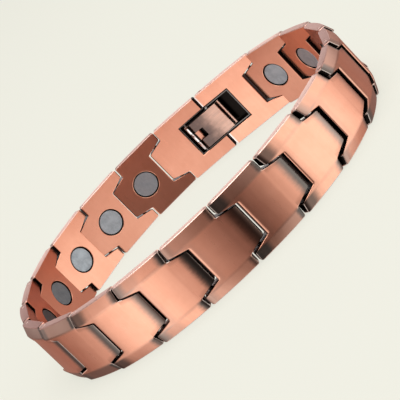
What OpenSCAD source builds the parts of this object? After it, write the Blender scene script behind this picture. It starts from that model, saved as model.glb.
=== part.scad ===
// Magnetic link bracelet: a closed oval band of pinned plate links with a fold-over clasp.
// Millimetres. The band stands on its long edge: Z runs across the links, the loop's long axis
// is X, and the clasp is at the back (+Y). Each link is drawn with its tongue pin at the origin,
// X along the band, Y outwards from the wrist and Z up, and is then placed on the oval.

/* [Band] */
// Width of the band, which is the height it stands
link_w = 13; // [11:0.5:16]
// Distance from one link pin to the next
pitch = 10.6; // [10:0.1:13]
// How many regular links there are
link_count = 19; // [15:1:22]
// Length of the loop divided by its depth
oval_ratio = 1.065; // [1:0.005:1.3]
// Squareness of the oval, where 2 is an ellipse
oval_exponent = 2.2; // [2:0.05:2.6]
// Place of the clasp round the oval, in degrees from +X
clasp_angle = 95; // [80:1:110]

/* [Links] */
// Thickness of a link across its raised field, at the top of its arch
plate_t = 2.45; // [2.3:0.05:2.9]
// Thickness of a link at its long edges, at the top of its arch
rim_t = 1.65; // [1.55:0.05:2]
// Radius of the arched outer face, along the band
arch_r = 42; // [38:1:90]
// Width of the sloped strip along each long edge
slope_w = 2; // [1.2:0.1:2.4]
// Space between two neighbouring links
link_gap = 0.3; // [0.2:0.02:0.4]
// Distance from a pin to the joint line at the ear ends
ear_reach = 1.75; // [1.6:0.05:2]
// Length of the tongue beyond the joint line
tongue_len = 3.65; // [3.3:0.05:4]
// Width of the tongue at its root
tongue_root_w = 8.8; // [8:0.1:9]
// Width of the tongue at its tip
tongue_tip_w = 7; // [6:0.1:7.8]
// Radius of the outward corners of a link
corner_r = 0.4; // [0.1:0.05:0.6]
// Radius of the inward corners of a link
inner_corner_r = 0.2; // [0.05:0.05:0.3]

/* [Pins] */
// Diameter of every cross pin
pin_d = 0.8; // [0.6:0.05:0.9]
// Depth of the pin axes below the inner face
pin_depth = 0.65; // [0.6:0.05:0.75]
// Running clearance round a pin, on the radius
pin_clear = 0.05; // [0.02:0.01:0.08]
// How far a pin end lies inside the side face
pin_inset = 0.15; // [0.05:0.05:0.4]

/* [Magnets] */
// Diameter of a magnet
magnet_d = 4.8; // [4:0.1:5]
// Thickness of a magnet
magnet_t = 1.1; // [0.8:0.05:1.1]
// Space round a magnet in its seat
magnet_gap = 0.2; // [0.05:0.05:0.3]
// How far a magnet lies below the inner face
magnet_drop = 0.15; // [0.05:0.05:0.2]
// Distance from the tongue pin to the magnet
magnet_x = 4.2; // [4:0.05:5]
// Space under a magnet
magnet_under = 0.05; // [0.02:0.01:0.08]

/* [Clasp links] */
// Length from the tongue pin to the parting of the clasp
clasp_a_len = 12.75; // [12:0.05:15]
// Length from the parting of the clasp to the next pin
clasp_b_len = 12.6; // [12:0.05:15]
// Angle between the two closed clasp links
clasp_bend = 8; // [4:0.5:9]
// Width of the recess and the pocket
recess_w = 7.4; // [7.2:0.1:8]
// Depth of the recess and the pocket
recess_depth = 1.5; // [1.4:0.05:1.55]
// Length of the pocket behind the parting
pocket_len = 6.45; // [5:0.05:7]
// Distance from the parting to the bar
bar_x = 1.65; // [1.4:0.05:1.9]
// Depth of the bar's axis below the inner face
bar_depth = 0.8; // [0.78:0.01:0.85]

/* [Cover] */
// Distance from the parting back to the cover's pin
hinge_back = 5.2; // [4.6:0.05:5.6]
// Width of the cover
cover_w = 6; // [5.8:0.1:6.8]
// How far the cover stands above the inner face
cover_rise = 0.85; // [0.8:0.05:1.1]
// Thickness of the cover's sheet
cover_t = 0.5; // [0.3:0.05:0.5]
// Length of the flat of the cover beyond the parting
cover_over = 2.36; // [2.2:0.02:2.6]
// Radius of the eyes round the hinge pin
eye_r = 0.7; // [0.6:0.02:0.74]
// Distance from the hinge pin to the start of the flat
cover_start = 0.65; // [0.6:0.05:0.8]
// Space between the cover and the end wall of the recess
end_clear = 0.65; // [0.65:0.05:0.9]
// Width of the window in the cover
window_w = 2; // [1.6:0.1:2.4]
// Length of the window in the cover
window_len = 1.95; // [1.5:0.05:2.4]
// Reach of the sloped end of the cover
nose_len = 0.55; // [0.45:0.05:0.7]
// Reach of the fingernail lip beyond the sloped end
lip_len = 0.45; // [0.3:0.05:0.6]
// Thickness of the fingernail lip
lip_t = 0.25; // [0.2:0.05:0.3]
// How far the lip stands above the inner face
lip_rise = 0.15; // [0.05:0.05:0.4]
// Space between a flange of the cover and the floor of the recess
flange_clear = 0.25; // [0.15:0.05:0.4]

/* [Hook] */
// Thickness of the hook's strip
hook_t = 0.3; // [0.2:0.05:0.32]
// Space between the hook and the sides of the cover
hook_side = 0.2; // [0.1:0.05:0.4]
// Depth that the strip dips by between the pin and the bar
hook_dip = 0.55; // [0.3:0.05:0.6]
// How far the hook curls past the bar, in degrees
hook_curl = 40; // [20:5:45]
// Space between neighbouring eyes on the hinge pin
eye_gap = 0.1; // [0.05:0.05:0.2]

/* [Hidden] */
$fn = 48;
arch_sides = 360;
function two_digits(i) = str(i < 10 ? "0" : "", i);
function link_name(i) = str("link_", two_digits(i));
function magnet_name(i) = str("magnet_", two_digits(i));

copper = "#c98467";
patina = "#8f6a58";
steel = "#9a9a98";
magnet_grey = "#6f7072";

half_gap = link_gap / 2;
over = 1; // how far a cutting solid passes the face that it cuts

// Faces of a link, as Y from its pin axes
inner_y = -pin_depth;
rim_y = inner_y + rim_t;
field_y = inner_y + plate_t;
floor_y = inner_y + recess_depth;

// Arches of the outer faces, each with its top halfway between the link's two joint lines
arch_axis_y = field_y - arch_r;
top_x = ear_reach + pitch / 2;
top_a_x = (ear_reach + clasp_a_len) / 2;
top_b_x = (clasp_b_len + ear_reach) / 2;
function arch_y(x, top) = arch_axis_y + sqrt(pow(arch_r, 2) - pow(x - top, 2));

// Tongue and notch share one trapezoid, half a gap inside and half a gap outside it
taper = atan((tongue_root_w - tongue_tip_w) / 2 / tongue_len);
shoulder_x = ear_reach + half_gap;
ear_x = ear_reach - half_gap;
tip_x = ear_reach - tongue_len + half_gap;
notch_x = ear_reach - tongue_len - half_gap;
function joint_z(x, off) = tongue_root_w / 2 + off / cos(taper) - tan(taper) * (ear_reach - x);

pin_r = pin_d / 2;
bore_r = pin_r + pin_clear;

// Cover, hook and bar, as X from the hinge pin and Y from its axis
hinge_x = clasp_a_len - hinge_back;
hinge_top = (link_w + recess_w) / 2 + pin_d; // blind end of the hinge pin, past the recess
cover_y = inner_y - cover_rise;
cover_under = cover_y + cover_t;
flat_end = hinge_back + cover_over;
bar_y_own = inner_y + bar_depth;
bar_place = [hinge_back + bar_x * cos(clasp_bend) + bar_y_own * sin(clasp_bend),
             bar_y_own * cos(clasp_bend) - bar_x * sin(clasp_bend)];
window_end = cover_start + window_len;

// The oval

function signed_pow(v, e) = sign(v) * pow(abs(v), e);
function oval_point(t, a) = [a * signed_pow(cos(t), 2 / oval_exponent),
                             a / oval_ratio * signed_pow(sin(t), 2 / oval_exponent)];

// Angle where a chord of a given length ends, going clockwise, found by halving
function chord_end(t, chord, a, lo = 0, hi = 90, steps = 26) =
    let (mid = (lo + hi) / 2)
    steps == 0 ? t - mid
    : norm(oval_point(t - mid, a) - oval_point(t, a)) < chord
        ? chord_end(t, chord, a, mid, hi, steps - 1)
        : chord_end(t, chord, a, lo, mid, steps - 1);

// Angles of all the pins, chord after chord from the clasp's first pin
function pin_angles(a, t = clasp_angle, i = 0) =
    i == len(chords) ? [t]
    : concat([t], pin_angles(a, chord_end(t, chords[i], a), i + 1));

// Half length of the oval on which the chords close, found by halving
function closing_size(lo, hi, steps = 26) =
    let (mid = (lo + hi) / 2, angles = pin_angles(mid))
    steps == 0 ? mid
    : clasp_angle - angles[len(chords)] > 360
        ? closing_size(mid, hi, steps - 1)
        : closing_size(lo, mid, steps - 1);

clasp_chord = sqrt(pow(clasp_a_len, 2) + pow(clasp_b_len, 2)
                   + 2 * clasp_a_len * clasp_b_len * cos(clasp_bend));
chords = concat([clasp_chord], [for (i = [1:link_count]) pitch]);
band_len = clasp_chord + link_count * pitch;
oval_a = closing_size(band_len / 8, band_len / 5); // a circle's radius is between the two
pins = [for (t = pin_angles(oval_a)) oval_point(t, oval_a)];

function heading(p, q) = atan2(q[1] - p[1], q[0] - p[0]);
function along(p, angle, x, y) =
    p + [x * cos(angle) - y * sin(angle), x * sin(angle) + y * cos(angle)];

// The parting of the clasp, where the two clasp links meet at their angle
clasp_heading = heading(pins[0], pins[1])
    + asin(clasp_b_len * sin(clasp_bend) / clasp_chord);
parting = along(pins[0], clasp_heading, clasp_a_len, 0);

// Origin under the middle of the band's box, found from points along the links' arches
shares = [0:0.05:1];
outer_points = concat(
    [for (i = [1:link_count], s = shares) let (x = ear_reach + s * pitch)
        along(pins[i], heading(pins[i], pins[i + 1]), x, arch_y(x, top_x))],
    [for (s = shares) let (x = ear_reach + s * (clasp_a_len - ear_reach))
        along(pins[0], clasp_heading, x, arch_y(x, top_a_x))],
    [for (s = shares) let (x = s * (clasp_b_len + ear_reach))
        along(parting, clasp_heading - clasp_bend, x, arch_y(x, top_b_x))]
);
middle = [for (k = [0, 1])
          let (row = [for (p = outer_points) p[k]]) (min(row) + max(row)) / 2];

// Flat shapes

// Closed outline from points [x, y, radius], with each corner rounded by its own radius
function rounded(pts, steps = 4) = [
    for (i = [0:len(pts) - 1])
        let (p = pts[i], a = pts[(i + len(pts) - 1) % len(pts)], b = pts[(i + 1) % len(pts)],
             at = [p[0], p[1]], u = unit([a[0], a[1]] - at), v = unit([b[0], b[1]] - at),
             half = acos(u * v) / 2, side = sign(u[0] * v[1] - u[1] * v[0]),
             centre = at + unit(u + v) * p[2] / sin(half),
             start = heading(centre, at + u * p[2] / tan(half)))
        for (k = [0:steps])
            let (t = start - side * (180 - 2 * half) * k / steps)
            centre + p[2] * [cos(t), sin(t)]
];
function unit(v) = v / norm(v);

// Outline of a strip of even thickness along a line of points
function strip_outline(path, t) = concat(
    [for (i = [0:len(path) - 1]) path[i] + strip_side(path, i) * t / 2],
    [for (i = [len(path) - 1:-1:0]) path[i] - strip_side(path, i) * t / 2]
);
function strip_side(path, i) =
    let (a = i > 0 ? unit(path[i] - path[i - 1]) : unit(path[1] - path[0]),
         b = i < len(path) - 1 ? unit(path[i + 1] - path[i]) : a,
         m = unit(a + b))
    [-m[1], m[0]] / (m * a);

// Tongue end of a link, from its lower shoulder round the tip to its upper shoulder
function tongue_points() = [
    [shoulder_x, -link_w / 2, corner_r],
    [shoulder_x, -joint_z(shoulder_x, -half_gap), inner_corner_r],
    [tip_x, -joint_z(tip_x, -half_gap), corner_r],
    [tip_x, joint_z(tip_x, -half_gap), corner_r],
    [shoulder_x, joint_z(shoulder_x, -half_gap), inner_corner_r],
    [shoulder_x, link_w / 2, corner_r]
];

// Notched end of a link whose ear pin is at X, from its upper ear to its lower ear
function notch_points(x) = [
    [x + ear_x, link_w / 2, corner_r],
    [x + ear_x, joint_z(ear_x, half_gap), corner_r],
    [x + notch_x, joint_z(notch_x, half_gap), inner_corner_r],
    [x + notch_x, -joint_z(notch_x, half_gap), inner_corner_r],
    [x + ear_x, -joint_z(ear_x, half_gap), corner_r],
    [x + ear_x, -link_w / 2, corner_r]
];

// Straight end of a clasp link
function square_points(x, side) = [
    [x, side * link_w / 2, corner_r],
    [x, -side * link_w / 2, corner_r]
];

// Solid shapes

// Plate with a given outline: flat inside, arched along the band outside, with the arch's top
// at a given X, and with a sloped strip along each long edge
module plate(outline, top) {
    intersection() {
        translate([0, field_y + over, link_w / 2]) rotate([90, 0, 0])
            linear_extrude(plate_t + over) polygon(rounded(outline));
        translate([top, arch_axis_y, 0]) rotate_extrude($fn = arch_sides)
            translate([-arch_axis_y, 0])
                polygon([[inner_y - over, 0], [rim_y, 0], [field_y, slope_w],
                         [field_y, link_w - slope_w], [rim_y, link_w], [inner_y - over, link_w]]);
    }
}

// Cylinder along Z between two heights
module cross_rod(x, y, r, z0, z1) {
    translate([x, y, z0]) cylinder(r = r, h = z1 - z0);
}

module pin_bore(x, y = 0) {
    cross_rod(x, y, bore_r, -over, link_w + over);
}

// Recess or pocket, cut from the inner face between two places along a clasp link
module recess(x0, x1) {
    translate([x0, inner_y - over, (link_w - recess_w) / 2])
        cube([x1 - x0, recess_depth + over, recess_w]);
}

// Disc set into the inner face in the middle of a link's width
module inner_disc(x, y0, y1, d) {
    translate([x, y1, link_w / 2]) rotate([90, 0, 0]) cylinder(d = d, h = y1 - y0);
}

module link() {
    seat_depth = magnet_drop + magnet_t + magnet_under;
    color(copper) difference() {
        plate(concat(tongue_points(), notch_points(pitch)), top_x);
        pin_bore(0);
        pin_bore(pitch);
        inner_disc(magnet_x, inner_y - over, inner_y + seat_depth, magnet_d + 2 * magnet_gap);
    }
}

module magnet() {
    color(magnet_grey)
        inner_disc(magnet_x, inner_y + magnet_drop, inner_y + magnet_drop + magnet_t, magnet_d);
}

module link_pin() {
    color(steel) cross_rod(0, 0, pin_r, pin_inset, link_w - pin_inset);
}

module clasp_link_a() {
    on_chain(pins[0], clasp_heading) color(copper) difference() {
        plate(concat(tongue_points(), square_points(clasp_a_len - half_gap, 1)), top_a_x);
        pin_bore(0);
        recess(hinge_x - eye_r - end_clear, clasp_a_len + over);
        cross_rod(hinge_x, 0, bore_r, -over, hinge_top + pin_clear);
    }
}

module clasp_link_b() {
    on_chain(parting, clasp_heading - clasp_bend) color(copper) difference() {
        plate(concat(square_points(half_gap, -1), notch_points(clasp_b_len)), top_b_x);
        pin_bore(clasp_b_len);
        recess(-over, pocket_len);
        pin_bore(bar_x, bar_y_own);
    }
}

module clasp_pin() {
    on_chain(pins[0], clasp_heading) color(steel)
        cross_rod(hinge_x, 0, pin_r, pin_inset, hinge_top - pin_clear);
}

module clasp_bar() {
    on_chain(parting, clasp_heading - clasp_bend) color(steel)
        cross_rod(bar_x, bar_y_own, pin_r, pin_inset, link_w - pin_inset);
}

// Side view of the cover's sheet: flat, sloped nose and fingernail lip
nose_x = flat_end + nose_len;
lip_y = inner_y - lip_rise;
bend_back = tan(atan2(lip_y - cover_y, nose_len) / 2); // inside of a bend, as a share of thickness
cover_side = [
    [cover_start, cover_under], [cover_start, cover_y + cover_t / 2],
    [cover_start + cover_t / 2, cover_y], [flat_end, cover_y], [nose_x, lip_y],
    [nose_x + lip_len, lip_y], [nose_x + lip_len, lip_y + lip_t],
    [nose_x - lip_t * bend_back, lip_y + lip_t], [flat_end - cover_t * bend_back, cover_under]
];

// Side view of a flange, stepped up where it passes over the bar
flange_low = floor_y - flange_clear;
bar_top = bar_place[1] - bore_r - pin_clear;
step_x = bar_place[0] - bore_r - cover_t;
flange_side = [
    [cover_start, cover_y + cover_t / 2], [cover_start + cover_t / 2, cover_y], [flat_end, cover_y],
    [flat_end, cover_under], [flat_end - cover_t * bend_back, bar_top],
    [step_x, bar_top], [step_x, flange_low], [0, flange_low],
    [-eye_r * cos(45), 0], [-eye_r * cos(45), -eye_r * sin(45)]
];

// Solid from a side view, between two distances from the middle of the band's width
module side_solid(points, z0, z1) {
    translate([hinge_x, 0, link_w / 2 + z0]) linear_extrude(z1 - z0) polygon(points);
}

module clasp_cover() {
    half_w = cover_w / 2;
    eye_in = window_w / 2 + eye_gap;
    on_chain(pins[0], clasp_heading) color(patina) difference() {
        union() {
            side_solid(cover_side, -half_w, half_w);
            for (z0 = [-half_w, half_w - cover_t]) side_solid(flange_side, z0, z0 + cover_t);
            for (z0 = [-half_w, eye_in])
                cross_rod(hinge_x, 0, eye_r, link_w / 2 + z0, link_w / 2 + z0 + half_w - eye_in);
        }
        cross_rod(hinge_x, 0, bore_r, link_w / 2 - half_w - over, link_w / 2 + half_w + over);
        side_solid([[cover_start - over, cover_y - over], [window_end, cover_y - over],
                    [window_end, cover_under + over], [cover_start - over, cover_under + over]],
                   -window_w / 2, window_w / 2);
    }
}

// Side view of the hook's strip: off the pin, down, along, up over the bar and round it
hook_mid_r = bore_r + hook_t / 2;
hook_start_y = -eye_r + hook_t / 2;
hook_low_y = hook_start_y + hook_dip;
hook_over_x = bar_place[0] - bore_r - hook_t;
hook_neck = (cover_start + window_end) / 2;
curl_steps = 6;
hook_path = concat(
    [[0, hook_start_y], [hook_neck - hook_t, hook_start_y], [hook_neck + hook_t, hook_low_y],
     [hook_over_x - hook_dip, hook_low_y], [hook_over_x, bar_place[1] - hook_mid_r]],
    [for (k = [0:curl_steps]) let (t = (90 + hook_curl) * k / curl_steps)
        bar_place + hook_mid_r * [sin(t), -cos(t)]]
);

module clasp_hook() {
    strip_half = cover_w / 2 - cover_t - hook_side;
    knuckle = window_w / 2;
    on_chain(pins[0], clasp_heading) color(copper) difference() {
        union() {
            cross_rod(hinge_x, 0, eye_r, link_w / 2 - knuckle, link_w / 2 + knuckle);
            intersection() {
                side_solid(strip_outline(hook_path, hook_t), -strip_half, strip_half);
                union() {
                    translate([hinge_x, cover_y, link_w / 2 - knuckle])
                        cube([flat_end, plate_t + cover_rise, 2 * knuckle]);
                    translate([hinge_x + hook_neck, cover_y, 0])
                        cube([flat_end, plate_t + cover_rise, link_w]);
                }
            }
        }
        cross_rod(hinge_x, 0, bore_r, 0, link_w);
    }
}

// Place a shape on the oval: its origin at a point, its X along a heading
module on_chain(p, angle) {
    translate([p[0] - middle[0], p[1] - middle[1], 0]) rotate([0, 0, angle]) children();
}

// Place a shape as the numbered regular link
module on_link(i) {
    on_chain(pins[i], heading(pins[i], pins[i + 1])) children();
}

module link_pins() {
    for (i = [0:link_count]) on_chain(pins[i], heading(pins[i], pins[i + 1])) link_pin();
}

for (i = [1:link_count]) on_link(i) link();
for (i = [1:link_count]) on_link(i) magnet();
link_pins();
clasp_link_a();
clasp_link_b();
clasp_cover();
clasp_hook();
clasp_pin();
clasp_bar();
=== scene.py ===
import math

import bmesh
import bpy
from mathutils import Matrix, Vector


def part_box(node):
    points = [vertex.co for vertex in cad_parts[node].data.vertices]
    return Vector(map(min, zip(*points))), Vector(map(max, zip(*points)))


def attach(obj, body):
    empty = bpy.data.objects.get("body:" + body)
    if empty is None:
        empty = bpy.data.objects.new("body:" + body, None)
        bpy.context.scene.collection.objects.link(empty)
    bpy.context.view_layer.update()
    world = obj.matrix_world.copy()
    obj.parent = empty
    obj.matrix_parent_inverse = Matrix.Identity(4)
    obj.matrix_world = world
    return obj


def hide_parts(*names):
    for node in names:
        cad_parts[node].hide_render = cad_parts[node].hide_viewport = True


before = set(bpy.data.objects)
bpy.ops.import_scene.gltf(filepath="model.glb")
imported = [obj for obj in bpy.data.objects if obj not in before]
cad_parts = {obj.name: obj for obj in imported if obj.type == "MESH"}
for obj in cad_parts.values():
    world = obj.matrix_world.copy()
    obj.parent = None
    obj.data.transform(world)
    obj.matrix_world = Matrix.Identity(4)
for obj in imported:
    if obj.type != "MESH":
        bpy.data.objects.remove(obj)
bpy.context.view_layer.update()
mm = 0.001  # template shapes are made in millimetres and shrunk as they are placed
farOff = 50.0  # a place past the end of every plate


def pinPoints(onePin=1.5):
    # middle of every link pin in plan, clockwise, with the clasp's wide gap after the first
    groups = []
    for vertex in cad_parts["link_pins"].data.vertices:
        spot = vertex.co.xy / mm
        near = [group for group in groups if (group[0] - spot).length < onePin]
        if near:
            near[0].append(spot)
        else:
            groups.append([spot])
    points = []
    for group in groups:
        xs, ys = [p.x for p in group], [p.y for p in group]
        points.append(Vector(((min(xs) + max(xs)) / 2, (min(ys) + max(ys)) / 2)))
    points.sort(key=lambda p: -math.atan2(p.y, p.x))
    gaps = [(after - point).length for point, after in zip(points, points[1:] + points[:1])]
    first = gaps.index(max(gaps))
    return points[first:] + points[:first]


def boxMiddle(node):
    low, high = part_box(node)
    return (low + high) / 2 / mm


def headingOf(start, end):
    return math.atan2(end.y - start.y, end.x - start.x)


def placed(origin, heading):
    # from a link's own millimetres to the frame: X along the band, Y outwards, Z up
    turn = Matrix.Rotation(heading, 4, "Z")
    return Matrix.Scale(mm, 4) @ Matrix.Translation((origin.x, origin.y, 0)) @ turn


pins = pinPoints()
print("frame read:", len(pins), "link pins")

# Fineness of every mesh, in millimetres, steps and degrees
meshing = {
    "cornerSteps": 5, "roundSteps": 3, "leastCorner": 0.03, "overcut": 0.02, "onFace": 1e-4, "tiny": 1e-5,
    "innerBreak": 2, "usualBreak": 24, "bevelBreak": 28, "flatWithin": 0.6,
}


def unique(items):
    # each item once, in the order met, so that every run gives the same mesh
    return list(dict.fromkeys(items))


def meshObject(name, mesh):
    made = bpy.data.objects.new(name, mesh)
    bpy.context.scene.collection.objects.link(made)
    return made


def closedMesh(name, bm):
    bmesh.ops.recalc_face_normals(bm, faces=bm.faces)
    if bm.calc_volume(signed=True) < 0:
        bmesh.ops.reverse_faces(bm, faces=bm.faces)
    mesh = bpy.data.meshes.new(name)
    bm.to_mesh(mesh)
    bm.free()
    return mesh


def markSharp(mesh, degrees=meshing["usualBreak"]):
    # smooth shading, broken where faces meet at more than this angle and round the flat inner face
    bm = bmesh.new()
    bm.from_mesh(mesh)
    for edge in bm.edges:
        flat = any(abs(face.normal.y + 1) < meshing["tiny"] for face in edge.link_faces)
        limit = math.radians(meshing["innerBreak"] if flat else degrees)
        edge.smooth = len(edge.link_faces) == 2 and edge.calc_face_angle(0) < limit
    for face in bm.faces:
        face.smooth = True
    bm.to_mesh(mesh)
    bm.free()


def evaluatedMesh(obj):
    graph = bpy.context.evaluated_depsgraph_get()
    graph.update()
    return bpy.data.meshes.new_from_object(obj.evaluated_get(graph))


def ringStack(bm, rings):
    # closed shell through rings of equal count, each a list of points
    rows = [[bm.verts.new(p) for p in ring] for ring in rings]
    count = len(rows[0])
    for low, high in zip(rows, rows[1:]):
        for i in range(count):
            j = (i + 1) % count
            bm.faces.new((low[i], low[j], high[j], high[i]))
    bm.faces.new(rows[0][::-1])
    bm.faces.new(rows[-1])


def lathe(bm, profile, middle, axis, sides):
    # solid of revolution from (radius, distance along the axis) pairs, ends closed
    rings = []
    for radius, reach in profile:
        ring = []
        for k in range(sides):
            t = 2 * math.pi * k / sides
            u, v = radius * math.cos(t), radius * math.sin(t)
            ring.append(middle + (Vector((u, reach, -v)) if axis == "Y" else Vector((u, v, reach))))
        rings.append(ring)
    ringStack(bm, rings)


def quarterRound(radius, size, start, direction):
    # points of a rounded edge, from the end face out to the wall
    points = []
    for k in range(meshing["roundSteps"] + 1):
        angle = math.pi / 2 * k / meshing["roundSteps"]
        out, back = size * math.sin(angle), size * (1 - math.cos(angle))
        points.append((radius - size + out, start + direction * back))
    return points


def cutAway(mesh, bm):
    # mesh minus the shells of a second mesh
    body = meshObject(mesh.name, mesh)
    tool = meshObject("cutter", closedMesh("cutter", bm))
    cut = body.modifiers.new("cut", "BOOLEAN")
    cut.operation, cut.solver, cut.object = "DIFFERENCE", "EXACT", tool
    result = evaluatedMesh(body)
    for obj in (body, tool):
        bpy.data.objects.remove(obj)
    return result


# A plate's sizes as in the CAD source, with the finish bevels that only the scene has
plate = {
    "width": 13, "innerY": -0.65, "rimT": 1.65, "fieldT": 2.45, "slopeW": 2, "archR": 42, "archFrom": 0.46,
    "earReach": 1.75, "gap": 0.3, "tongueLen": 3.65, "tongueRoot": 8.8, "tongueTip": 7,
    "cornerR": 0.4, "innerCornerR": 0.2, "ridgeSoft": 0.22, "cellLen": 0.9,
    "outerSteps": 7, "innerSteps": 4, "rollDepth": 0.28, "insideDepth": 0.13,
    "tipBevel": 0.95, "shoulderBevel": 0.6, "sideBevel": 0.2, "earBevel": 0.95,
    "notchBevel": 0.5, "mouthBevel": 0.2, "rimBevel": 0.16, "insideBevel": 0.14, "squareBevel": 0.2,
}
magnetShape = {
    "diameter": 4.8, "thickness": 1.1, "x": 4.2, "drop": 0.15, "seatGap": 0.2, "under": 0.05,
    "edgeRound": 0.14, "seatEase": 0.12, "seatSoft": 0.042, "faceR": 0.5, "sides": 56, "break": 20,
    "pale": (0.50, 0.55, 0.58, 1), "dark": (0.33, 0.36, 0.385, 1), "paintedShade": (0.06, 0.066, 0.07, 1),
    "stretch": (5.0, 5.0, 1.2), "grainSeed": 53.0, "cloudSeed": 17.0, "cloudSize": 1.6,
    "lineShare": 0.3, "cloudShare": 0.5, "roughness": 0.56, "roughSpread": 0.12, "lineDepth": 0.004,
}
pinShape = {
    "diameter": 0.8, "clearance": 0.02, "inset": 0.04, "mouthEase": 0.02, "mouthFlare": 0.05,
    "endRound": 0.05, "crown": 0.02, "crownR": 0.45, "sides": 24, "break": 35,
    "pale": (0.16, 0.13, 0.12, 1), "dark": (0.07, 0.055, 0.05, 1), "end": (0.74, 0.53, 0.46, 1),
    "stretch": (6.0, 6.0, 0.5), "paleEnd": (1.0, 0.5), "roughness": 0.395, "roughSpread": 0.15,
    "lineDepth": 0.003,
}
halfW = plate["width"] / 2
halfGap = plate["gap"] / 2
ridgeAt = halfW - plate["slopeW"]  # where a sloped strip starts, from the middle of the band
innerY = plate["innerY"]
fieldY = innerY + plate["fieldT"]
taper = math.atan((plate["tongueRoot"] - plate["tongueTip"]) / 2 / plate["tongueLen"])
shoulderX = plate["earReach"] + halfGap
earX = plate["earReach"] - halfGap
tipX = plate["earReach"] - plate["tongueLen"] + halfGap
notchX = plate["earReach"] - plate["tongueLen"] - halfGap


def jointHalf(x, off):
    # half width of the tongue (off below zero) or the notch (above) at x from its pin
    return plate["tongueRoot"] / 2 + off / math.cos(taper) - math.tan(taper) * (plate["earReach"] - x)


def corner(x, z, radius, outer, inner="insideBevel"):
    # a corner of a plate's outline, with the bevels of the edge that leaves it
    return x, z, plate[radius], plate[outer], plate[inner]


def tongueEnd():
    root, tip = jointHalf(shoulderX, -halfGap), jointHalf(tipX, -halfGap)
    return [
        corner(shoulderX, -halfW, "cornerR", "shoulderBevel"),
        corner(shoulderX, -root, "innerCornerR", "sideBevel"),
        corner(tipX, -tip, "cornerR", "tipBevel"),
        corner(tipX, tip, "cornerR", "sideBevel"),
        corner(shoulderX, root, "innerCornerR", "shoulderBevel"),
        corner(shoulderX, halfW, "cornerR", "rimBevel"),
    ]


def notchEnd(length):
    mouth, floor = jointHalf(earX, halfGap), jointHalf(notchX, halfGap)
    return [
        corner(length + earX, halfW, "cornerR", "earBevel"),
        corner(length + earX, mouth, "cornerR", "mouthBevel"),
        corner(length + notchX, floor, "innerCornerR", "notchBevel"),
        corner(length + notchX, -floor, "innerCornerR", "mouthBevel"),
        corner(length + earX, -mouth, "cornerR", "earBevel"),
        corner(length + earX, -halfW, "cornerR", "rimBevel"),
    ]


def squareEnd(x, side, parting):
    return [
        (x, side * halfW, plate["cornerR"], plate["squareBevel"], parting),
        corner(x, -side * halfW, "cornerR", "rimBevel"),
    ]


def ringOutline(corners, share, side):
    # clockwise outline of a plate, drawn in at each edge by a share of that edge's own bevel
    count = len(corners)
    insets = [point[side] * share for point in corners]
    lines = []
    for i in range(count):
        a, b = Vector(corners[i][:2]), Vector(corners[(i + 1) % count][:2])
        along = (b - a).normalized()
        inward = Vector((along.y, -along.x))
        lines.append((a + inward * insets[i], along))
    ring = []
    for i in range(count):
        before, after = lines[i - 1], lines[i]
        cross = before[1].x * after[1].y - before[1].y * after[1].x
        step = after[0] - before[0]
        reach = (step.x * after[1].y - step.y * after[1].x) / cross
        meeting = before[0] + before[1] * reach
        bend = math.atan2(cross, before[1].dot(after[1]))
        drawn = (insets[i - 1] + insets[i]) / 2
        radius = max(corners[i][2] + math.copysign(drawn, bend), meshing["leastCorner"])
        start = meeting - before[1] * radius * math.tan(abs(bend) / 2)
        centre = start + Vector((-before[1].y, before[1].x)) * math.copysign(radius, bend)
        for k in range(meshing["cornerSteps"] + 1):
            turned = k / meshing["cornerSteps"]
            ring.append((centre + Matrix.Rotation(bend * turned, 2) @ (start - centre), i, turned))
    return ring


def plateRings(corners):
    # rings of the flat plate from its inner face to its outer one, rolled off at both
    rings = []
    for side, steps, base, up, most in ((4, plate["innerSteps"], innerY, 1, plate["insideDepth"]),
                                        (3, plate["outerSteps"], fieldY, -1, plate["rollDepth"])):
        stack = []
        for step in range(steps + 1):
            angle = math.pi / 2 * step / steps
            ring = []
            for spot, i, share in ringOutline(corners, 1 - math.sin(angle), side):
                before, after = (min(corners[j][side], most) for j in (i - 1, i))
                depth = before * (1 - share) + after * share
                ring.append(Vector((spot.x, base + up * depth * (1 - math.cos(angle)), spot.y + halfW)))
            stack.append(ring)
        rings += stack if up > 0 else stack[::-1]
    return rings


def outerSurface(x, w, top):
    # height of a plate's outer face: arched along the band, sloped near the long edges
    slope = (plate["fieldT"] - plate["rimT"]) / plate["slopeW"]
    past, soft = abs(w) - ridgeAt, plate["ridgeSoft"]
    if past <= -soft:
        drop = 0
    elif past >= soft:
        drop = slope * past
    else:
        drop = slope * (past + soft) ** 2 / (4 * soft)
    radius = plate["archR"] - drop
    return fieldY - plate["archR"] + math.sqrt(radius ** 2 - (x - top) ** 2)


def splitLargeFaces(bm):
    bmesh.ops.triangulate(bm, faces=[face for face in bm.faces if len(face.verts) > 4])


def cutCells(bm, corners, level):
    # cuts across the plate and along its ridges, so that the outer face can follow its arch
    xs = [point[0] for point in corners]
    start, span = min(xs), max(xs) - min(xs)
    cells = math.ceil(span / plate["cellLen"])
    cuts = [((start + span * k / cells, 0, 0), (1, 0, 0)) for k in range(1, cells)]
    cuts += [((0, 0, halfW + side * (ridgeAt + plate["ridgeSoft"] * k / 2)), (0, 0, 1))
             for side in (-1, 1) for k in (-2, -1, 0, 1, 2)]
    for spot, normal in cuts:
        faces = [face for face in bm.faces if any(v.co.y > level for v in face.verts)]
        edges = unique(edge for face in faces for edge in face.edges)
        verts = unique(vertex for face in faces for vertex in face.verts)
        bmesh.ops.bisect_plane(bm, geom=verts + edges + faces, dist=meshing["tiny"],
                               plane_co=spot, plane_no=normal)


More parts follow.
